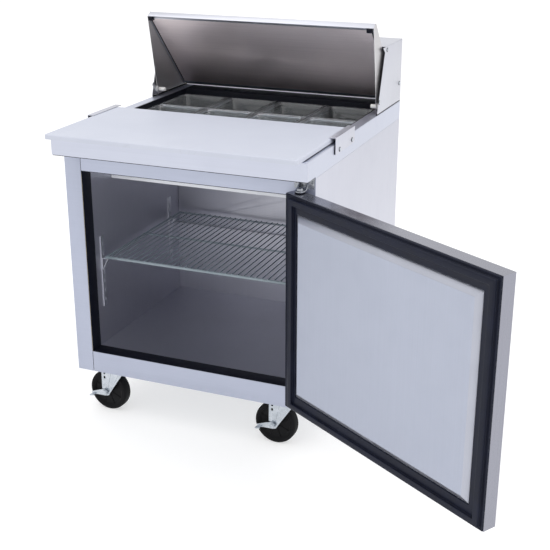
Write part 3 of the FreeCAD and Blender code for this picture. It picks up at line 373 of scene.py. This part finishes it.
WELD_GAP = 0.01          # corners closer than this are one, mm
FLAT_ANGLE = 0.6         # facets that turn less than this are merged, degrees
ROUND_ANGLE = 38         # edges sharper than this are rounded, degrees


def soften(node, width):
    """Rounds a node's edges with modifiers: weld, merge flat facets, bevel."""
    obj = NODES[node]
    weld = obj.modifiers.new("weld", "WELD")
    weld.merge_threshold = WELD_GAP * MM
    flat = obj.modifiers.new("flat", "DECIMATE")
    flat.decimate_type = "DISSOLVE"
    flat.angle_limit = math.radians(FLAT_ANGLE)
    bevel = obj.modifiers.new("bevel", "BEVEL")
    bevel.width = width * MM
    bevel.segments = 2
    bevel.limit_method = "ANGLE"
    bevel.angle_limit = math.radians(ROUND_ANGLE)
    bevel.harden_normals = True


for name, obj in NODES.items():
    obj.data.materials.clear()
    obj.data.materials.append(M[NODE_MATERIAL.get(name, REPLACED_MATERIAL)])
    obj.data.shade_smooth()
    if name in EDGE:
        soften(name, EDGE[name])


# ---- Mesh helpers ------------------------------------------------------------------------------
def add_piece(name, verts, faces, body, material, sharp=35.0):
    """A mesh piece, drawn where it is at rest, that rides on a CAD body."""
    mesh = bpy.data.meshes.new(name)
    mesh.from_pydata([tuple(v) for v in verts], [], faces)
    bm = bmesh.new()
    bm.from_mesh(mesh)
    bmesh.ops.recalc_face_normals(bm, faces=bm.faces)
    bm.to_mesh(mesh)
    bm.free()
    mesh.shade_smooth()
    mesh.set_sharp_from_angle(angle=math.radians(sharp))
    mesh.materials.append(material)
    obj = bpy.data.objects.new(name, mesh)
    bpy.context.scene.collection.objects.link(obj)
    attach(obj, body)
    return obj


class Shape:
    """Vertices and faces gathered from loops, lathes and blocks."""

    def __init__(self):
        self.verts, self.faces = [], []

    def add(self, verts, faces):
        start = len(self.verts)
        self.verts += [Vector(v) for v in verts]
        self.faces += [tuple(start + i for i in face) for face in faces]

    def loops(self, rings, closed=False, caps=True):
        """Skins a list of equal-length rings; closed joins the last ring to the first."""
        size = len(rings[0])
        verts = [point for ring in rings for point in ring]
        faces = []
        for r in range(len(rings) if closed else len(rings) - 1):
            low, high = r * size, ((r + 1) % len(rings)) * size
            for i in range(size):
                j = (i + 1) % size
                faces.append((low + i, low + j, high + j, high + i))
        if caps and not closed:
            faces.append(tuple(range(size))[::-1])
            faces.append(tuple(range(len(verts) - size, len(verts))))
        self.add(verts, faces)

    def lathe(self, profile, frame_matrix, steps=96):
        """Turns (radius, distance along the axis) points about the frame's Z axis, as a closed ring."""
        angles = [2 * math.pi * i / steps for i in range(steps)]
        rings = []
        for radius, along in profile:
            rings.append([
                frame_matrix @ Vector((radius * math.cos(angle), radius * math.sin(angle), along))
                for angle in angles])
        self.loops(rings, closed=True)

    def block(self, x_range, y_range, z_range):
        """A box along the axes, given as pairs of its ends."""
        (x0, x1), (y0, y1) = x_range, y_range
        corners = ((x0, y0), (x1, y0), (x1, y1), (x0, y1))
        self.loops([[Vector((x, y, z)) for x, y in corners] for z in z_range])


def rounded_rectangle(centre, half_x, half_y, radius, z, steps=6):
    """A level outline with rounded corners."""
    points = []
    for cx, cy, start in ((1, 1, 0), (-1, 1, 90), (-1, -1, 180), (1, -1, 270)):
        for i in range(steps + 1):
            turn = math.radians(start + 90 * i / steps)
            points.append(Vector((
                centre.x + cx * (half_x - radius) + radius * math.cos(turn),
                centre.y + cy * (half_y - radius) + radius * math.sin(turn), z)))
    return points


def axis_frame(position, axis):
    """A matrix whose Z axis is the given axis, at the given position."""
    z = Vector(axis).normalized()
    return Matrix.Translation(Vector(position)) @ z.to_track_quat("Z", "Y").to_matrix().to_4x4()


# ---- Door gasket -------------------------------------------------------------------------------
hinge = JOINTS["door_swing"]
door_pivot = Vector(hinge["pos_m"])
door_turn = (
    Matrix.Translation(door_pivot) @ Matrix.Rotation(math.radians(-hinge["range_deg"][0]), 4, "Z")
    @ Matrix.Translation(-door_pivot))


def closed_box(node, turn):
    """A node's box when the door is closed."""
    back = turn.inverted()
    points = [back @ v.co for v in NODES[node].data.vertices]
    low = Vector(min(p[i] for p in points) for i in range(3))
    high = Vector(max(p[i] for p in points) for i in range(3))
    return low, high


def door_rectangle(low, high, inset, y, hinge_inset=None):
    """Four corners on the closed door, inset from a box's edges, turned to where the door rests."""
    x0, x1 = low.x + inset, high.x - (inset if hinge_inset is None else hinge_inset)
    z0, z1 = low.z + inset, high.z - inset
    corners = ((x0, y, z0), (x1, y, z0), (x1, y, z1), (x0, y, z1))
    return [door_turn @ Vector(corner) for corner in corners]


def door_gasket():
    """The vinyl profile round the door, wider on the hinge side, with a mitre at each corner."""
    low, high = closed_box("door_gasket", door_turn)
    # inset from the flange's edge, the same on the hinge side, and height above the door, in mm
    profile = [
        (0.0, 0.0, 0.0), (0.0, 0.0, 2.3), (0.7, 0.7, 3.5), (2.2, 2.2, 3.9), (3.4, 3.4, 3.6),
        (3.9, 3.9, 2.5), (4.9, 4.9, 2.5), (5.4, 5.4, 3.6), (6.2, 6.2, 3.9), (7.2, 20.9, 3.95),
        (7.9, 21.4, 4.4), (7.5, 21.0, 5.6), (8.3, 21.7, 6.9), (7.5, 21.0, 8.4), (7.5, 21.0, 11.0),
        (8.3, 21.6, 12.4), (9.9, 22.9, 13.0), (13.0, 26.0, 13.2), (20.9, 34.0, 13.2),
        (22.4, 35.4, 12.7), (23.4, 36.4, 11.4), (23.5, 36.5, 8.6), (22.7, 35.7, 7.2),
        (23.5, 36.5, 5.8), (23.0, 36.0, 4.5), (24.4, 37.2, 3.95), (41.9, 41.9, 3.9),
        (43.6, 43.6, 3.5), (44.4, 44.4, 2.3), (44.5, 44.5, 0.0)]
    rings = [
        door_rectangle(low, high, inset * MM, low.y + height * MM, hinge_inset * MM)
        for inset, hinge_inset, height in profile]
    shape = Shape()
    shape.loops(rings, closed=True)
    piece = add_piece("gasket", shape.verts, shape.faces, "door", M["gasket"], 28)
    bevel = piece.modifiers.new("mitre", "BEVEL")
    bevel.width, bevel.segments, bevel.limit_method = 0.25 * MM, 2, "ANGLE"
    bevel.angle_limit = math.radians(50)
    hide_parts("door_gasket")


# ---- Door's inner panel ------------------------------------------------------------------------
def door_panel():
    """The pressed inner panel: a flat field, a bevelled rim in a paler copy of its steel as painted
    highlight, and a flange behind the gasket.
    """
    low, high = closed_box("door_liner", door_turn)
    rim_inset, field_inset = 46.3 * MM, 61.3 * MM
    flange_y, sheet = low.y + 1.5 * MM, 0.9 * MM

    def rectangle(inset, y):
        return door_rectangle(low, high, inset, y)

    flange = Shape()
    flange.loops([
        rectangle(0, low.y), rectangle(0, flange_y), rectangle(rim_inset - 0.1 * MM, flange_y),
        rectangle(rim_inset - 0.1 * MM, low.y)], closed=True)
    rim = Shape()
    rim.loops([
        rectangle(rim_inset, flange_y - sheet), rectangle(rim_inset, flange_y),
        rectangle(rim_inset + 0.7 * MM, flange_y + 0.9 * MM),
        rectangle(field_inset - 1.0 * MM, high.y - 0.5 * MM),
        rectangle(field_inset, high.y), rectangle(field_inset, high.y - sheet)], closed=True)
    field = Shape()
    field.loops([
        rectangle(field_inset + 0.1 * MM, high.y - sheet),
        rectangle(field_inset + 0.1 * MM, high.y - 0.25 * MM),
        rectangle(field_inset + 0.5 * MM, high.y)])
    for name, shape, material in (
            ("panel_flange", flange, "door_in"), ("panel_rim", rim, "door_rim_painted_highlight"),
            ("panel_field", field, "door_in")):
        piece = add_piece(name, shape.verts, shape.faces, "door", M[material], 30)
        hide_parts("door_liner")


# ---- Wheels ------------------------------------------------------------------------------------
def wheel(corner):
    """A moulded core with spokes, and a soft tread round it."""
    spokes, spoke_foot = 8, 9.0
    spin = JOINTS[f"wheel_{corner}_spin"]
    place = axis_frame(spin["pos_m"], spin["axis"])
    core = Shape()
    right = [
        (5.06, 20.0), (11.5, 20.0), (12.6, 19.5), (13.2, 18.2), (14.0, 13.0), (15.5, 11.2), (18.0, 10.6),
        (42.0, 10.2), (44.5, 10.6), (46.0, 12.2), (47.4, 13.6), (49.0, 13.8), (49.2, 12.0)]
    profile = [(r * MM, w * MM) for r, w in right] + [(r * MM, -w * MM) for r, w in reversed(right)]
    core.lathe(profile, place)
    for side in (-1, 1):
        for i in range(spokes):
            turn = Matrix.Rotation(math.radians(360 / spokes * (i + 0.5)), 4, "Z")
            rings = []
            for r, top, half in ((13.8, 12.4, 1.0), (24.0, 11.6, 0.9), (38.0, 11.4, 0.9), (46.5, 12.6, 1.0)):
                rings.append([
                    place @ turn @ (Vector((r, y, side * w)) * MM)
                    for y, w in (
                        (-half, spoke_foot), (half, spoke_foot), (half * 0.6, top), (-half * 0.6, top))])
            core.loops(rings)
    body = f"wheel_{corner}"
    piece = add_piece(f"wheel_core_{corner}", core.verts, core.faces, body, M["hub"], 40)
    tread = Shape()
    right = [
        (49.0, 13.2), (49.6, 14.6), (50.6, 15.0), (51.2, 14.7), (52.0, 15.4), (55.5, 15.8), (58.6, 15.2),
        (60.6, 13.4), (61.6, 10.4), (61.95, 6.0), (62.0, 2.0)]
    profile = [(r * MM, w * MM) for r, w in right] + [(r * MM, -w * MM) for r, w in reversed(right)]
    tread.lathe(profile, place, 128)
    ring = add_piece(f"wheel_tread_{corner}", tread.verts, tread.faces, body, M["tread"], 40)
    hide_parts(f"caster_wheel_{corner}")
    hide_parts(f"caster_wheel_{corner}")


# ---- Food pans ---------------------------------------------------------------------------------
def food_pan(node):
    """A clear pan: a tapered tub with a rolled rim and a slightly sunk floor."""
    low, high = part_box(node)
    centre = (low + high) / 2
    half_x, half_y = (high.x - low.x) / 2 / MM, (high.y - low.y) / 2 / MM
    z0, z1 = low.z / MM, high.z / MM
    # how far inside the rim's edge, corner radius, height, in mm: up the outside, then down the inside
    profile = [
        (22.5, 11.0, z0), (18.2, 13.2, z0 + 0.8), (16.2, 14.0, z0 + 3.6), (9.8, 17.0, z1 - 24),
        (8.6, 18.0, z1 - 20), (8.2, 18.0, z1 - 5.0), (6.8, 16.5, z1 - 2.8), (1.0, 9.0, z1 - 2.75),
        (0.25, 9.3, z1 - 2.3), (0.0, 9.5, z1 - 1.6), (0.2, 9.3, z1 - 0.7), (0.9, 9.0, z1 - 0.12),
        (2.0, 8.6, z1), (8.4, 17.0, z1), (9.7, 16.6, z1 - 0.6), (10.4, 16.0, z1 - 2.4),
        (10.7, 15.8, z1 - 19), (11.9, 15.0, z1 - 23), (18.6, 12.0, z0 + 6.2), (20.4, 11.0, z0 + 3.2),
        (25.0, 9.0, z0 + 2.4)]
    rings = []
    for inset, radius, z in profile:
        rings.append(rounded_rectangle(
            centre, (half_x - inset) * MM, (half_y - inset) * MM, radius * MM, z * MM))
    shape = Shape()
    shape.loops(rings)
    piece = add_piece(node.replace("pan", "tub"), shape.verts, shape.faces, node, M["clear"], 50)
    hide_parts(node)


# ---- Screws ------------------------------------------------------------------------------------
def islands(node):
    """The boxes of a node's separate solids."""
    mesh = NODES[node].data
    keys = [tuple(round(c, 6) for c in v.co) for v in mesh.vertices]
    parent = {}

    def root(key):
        while parent.setdefault(key, key) != key:
            parent[key] = parent[parent[key]]
            key = parent[key]
        return key

    for polygon in mesh.polygons:
        first = root(keys[polygon.vertices[0]])
        for i in polygon.vertices[1:]:
            parent[root(keys[i])] = first
    groups = {}
    for key in set(keys):
        groups.setdefault(root(key), []).append(key)
    boxes = []
    for points in groups.values():
        boxes.append((
            Vector(min(p[i] for p in points) for i in range(3)),
            Vector(max(p[i] for p in points) for i in range(3))))
    return sorted(boxes, key=lambda box: tuple(box[0]))


def screws():
    """Cross-recessed pan heads on black washers that stand as painted shadow round each head, in place of the
    plain ones.
    """
    heads, washers = Shape(), Shape()
    steps, washer, bore = 48, 0.8 * MM, 0.2 * MM
    head_share = 0.68    # the head's radius as a share of the washer's
    # share of the head's radius, height above the washer as a share of the head's, depth of the cross
    levels = (
        (1.0, 0.0, 0.0), (1.0, 0.3, 0.0), (0.93, 0.62, 0.0), (0.78, 0.86, 0.0), (0.58, 0.97, 0.0),
        (0.42, 1.0, 0.25), (0.38, 0.75, 0.72), (0.30, 0.35, 0.75))
    for low, high in islands("panel_screws"):
        side = 1 if low.x > 0 else -1
        radius, height = (high.y - low.y) / 2, high.x - low.x
        seat = (low + high) / 2
        seat.x = low.x if side > 0 else high.x
        place = axis_frame(seat, (side, 0, 0))
        washers.lathe([
            (bore, 0.0), (radius, 0.0), (radius, washer * 0.7), (radius * 0.96, washer), (bore, washer)],
            place, steps)
        turn = Matrix.Rotation(random.uniform(0, math.pi / 2), 4, "Z")
        rings = []
        for share, up, cross in levels:
            ring = []
            for i in range(steps):
                angle = 2 * math.pi * i / steps
                pinch = 1 - cross * (0.5 - 0.5 * math.cos(4 * angle)) ** 0.5
                reach = radius * head_share * share * pinch
                ring.append(place @ turn @ Vector((
                    reach * math.cos(angle), reach * math.sin(angle), washer + (height - washer) * up)))
            rings.append(ring)
        heads.loops(rings)
    piece = add_piece("screw_heads", heads.verts, heads.faces, "cabinet", M["zinc"], 40)
    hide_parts("panel_screws")
    piece = add_piece("screw_washers_painted_shadow", washers.verts, washers.faces, "cabinet", M["washer"], 40)
    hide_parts("panel_screws")


# ---- Tapes, beads and caps ---------------------------------------------------------------------
def add_strip(name, shape):
    """A black rubber piece fixed to the cabinet."""
    add_piece(name, shape.verts, shape.faces, "cabinet", M["strip"], 30)


def seam_shadow_tapes():
    """Black tape behind the joints between the stiles and the rails, a dark sheet in the gaps as painted
    shadow.
    """
    low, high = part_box("face_frame")
    opening_low, opening_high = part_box("breaker_strip")
    stile_width, half_width, short = 51 * MM, 5 * MM, 2 * MM
    y_range = (low.y + 1.25 * MM, low.y + 1.5 * MM)
    shape = Shape()
    for side in (-1, 1):
        seam = side * (high.x - stile_width)
        x_range = (seam - half_width, seam + half_width)
        shape.block(x_range, y_range, (low.z + short, opening_low.z - short))
        shape.block(x_range, y_range, (opening_high.z + short, high.z - 1 * MM))
    add_strip("seam_tape_painted_shadow", shape)


def hem_shadow_bead():
    """Thin black bead along the lower hem of the worktop's nosing, a dark strip as painted shadow under the
    hem.
    """
    low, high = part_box("worktop")
    gap_to_frame, bead_height, end = 0.4 * MM, 1.6 * MM, 3 * MM
    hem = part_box("face_frame")[1].z + gap_to_frame
    shape = Shape()
    shape.block(
        (low.x + end, high.x - end), (low.y + 0.3 * MM, low.y + 2.8 * MM), (hem - bead_height, hem))
    add_strip("hem_shadow_bead", shape)


def well_caps():
    """Thin black caps on the insulation's edge, between the liner and the pan well's collar."""
    liner_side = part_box("liner_wrap")[1].x
    low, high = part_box("well_frame")
    flange_depth = 63 * MM
    shape = Shape()
    for side in (-1, 1):
        shape.block(
            (side * (liner_side + 0.1 * MM), side * (high.x - 0.3 * MM)),
            (low.y + 1 * MM, high.y - flange_depth), (low.z - 0.5 * MM, low.z - 0.1 * MM))
    add_strip("well_caps", shape)


door_gasket()
door_panel()
for corner in CORNERS:
    wheel(corner)
for name in sorted(NODES):
    if name.startswith("pan_") and name != "pan_bars":
        food_pan(name)
screws()
seam_shadow_tapes()
hem_shadow_bead()
well_caps()


# ---- Floor, light and camera -------------------------------------------------------------------
def floor():
    """A pale seamless studio floor."""
    g = Graph("studio_floor", (0.60, 0.60, 0.60), 0.95)
    mottle = g.noise(g.place(), 1.5, 3.0)
    g.set("Base Color", g.mix(mottle, (0.59, 0.59, 0.592), (0.61, 0.61, 0.61)))
    g.set("Emission Color", (1, 1, 1, 1))
    g.set("Emission Strength", 0.5)
    g.set("Specular IOR Level", 0.1)
    mesh = bpy.data.meshes.new("studio_floor")
    reach = 40.0
    corners = [(-reach, -reach, 0), (reach, -reach, 0), (reach, reach, 0), (-reach, reach, 0)]
    mesh.from_pydata(corners, [], [(0, 1, 2, 3)])
    mesh.materials.append(g.mat)
    obj = bpy.data.objects.new("studio_floor", mesh)
    bpy.context.scene.collection.objects.link(obj)


def softbox(name, position, target, size, power):
    """A rectangular light that faces its target; sizes in metres, power in watts."""
    light = bpy.data.lights.new(name, "AREA")
    light.shape = "RECTANGLE"
    light.size, light.size_y = size
    light.energy = power
    obj = bpy.data.objects.new(name, light)
    obj.location = position
    obj.rotation_euler = (Vector(target) - Vector(position)).to_track_quat("-Z", "Y").to_euler()
    bpy.context.scene.collection.objects.link(obj)


floor()
softbox("overhead", (-0.4, -0.6, 4.2), (0, 0, 0.6), (4.5, 4.5), 45)
softbox("right", (4.2, -1.2, 2.6), (0.2, 0, 0.6), (2.4, 3.2), 30)
world = bpy.data.worlds.new("studio")
bpy.context.scene.world = world
world.use_nodes = True
background = world.node_tree.nodes["Background"]
background.inputs["Color"].default_value = (1.0, 1.0, 1.0, 1)
background.inputs["Strength"].default_value = 1.0

CAMERA_PLACE = (1.262, -2.827, 1.526)   # metres
CAMERA_PITCH = 20.72                    # degrees below level
CAMERA_TURN = 22.26                     # degrees anticlockwise, seen from above
CAMERA_LENS = 70.65                     # mm, on a 36 mm sensor
camera = bpy.data.objects.new("camera", bpy.data.cameras.new("camera"))
camera.data.sensor_width = 36.0
camera.data.lens = CAMERA_LENS
camera.data.clip_end = 200.0
camera.location = CAMERA_PLACE
camera.rotation_euler = (math.radians(90 - CAMERA_PITCH), 0, math.radians(CAMERA_TURN))
bpy.context.scene.collection.objects.link(camera)
bpy.context.scene.camera = camera
bpy.context.scene.view_settings.view_transform = "Standard"
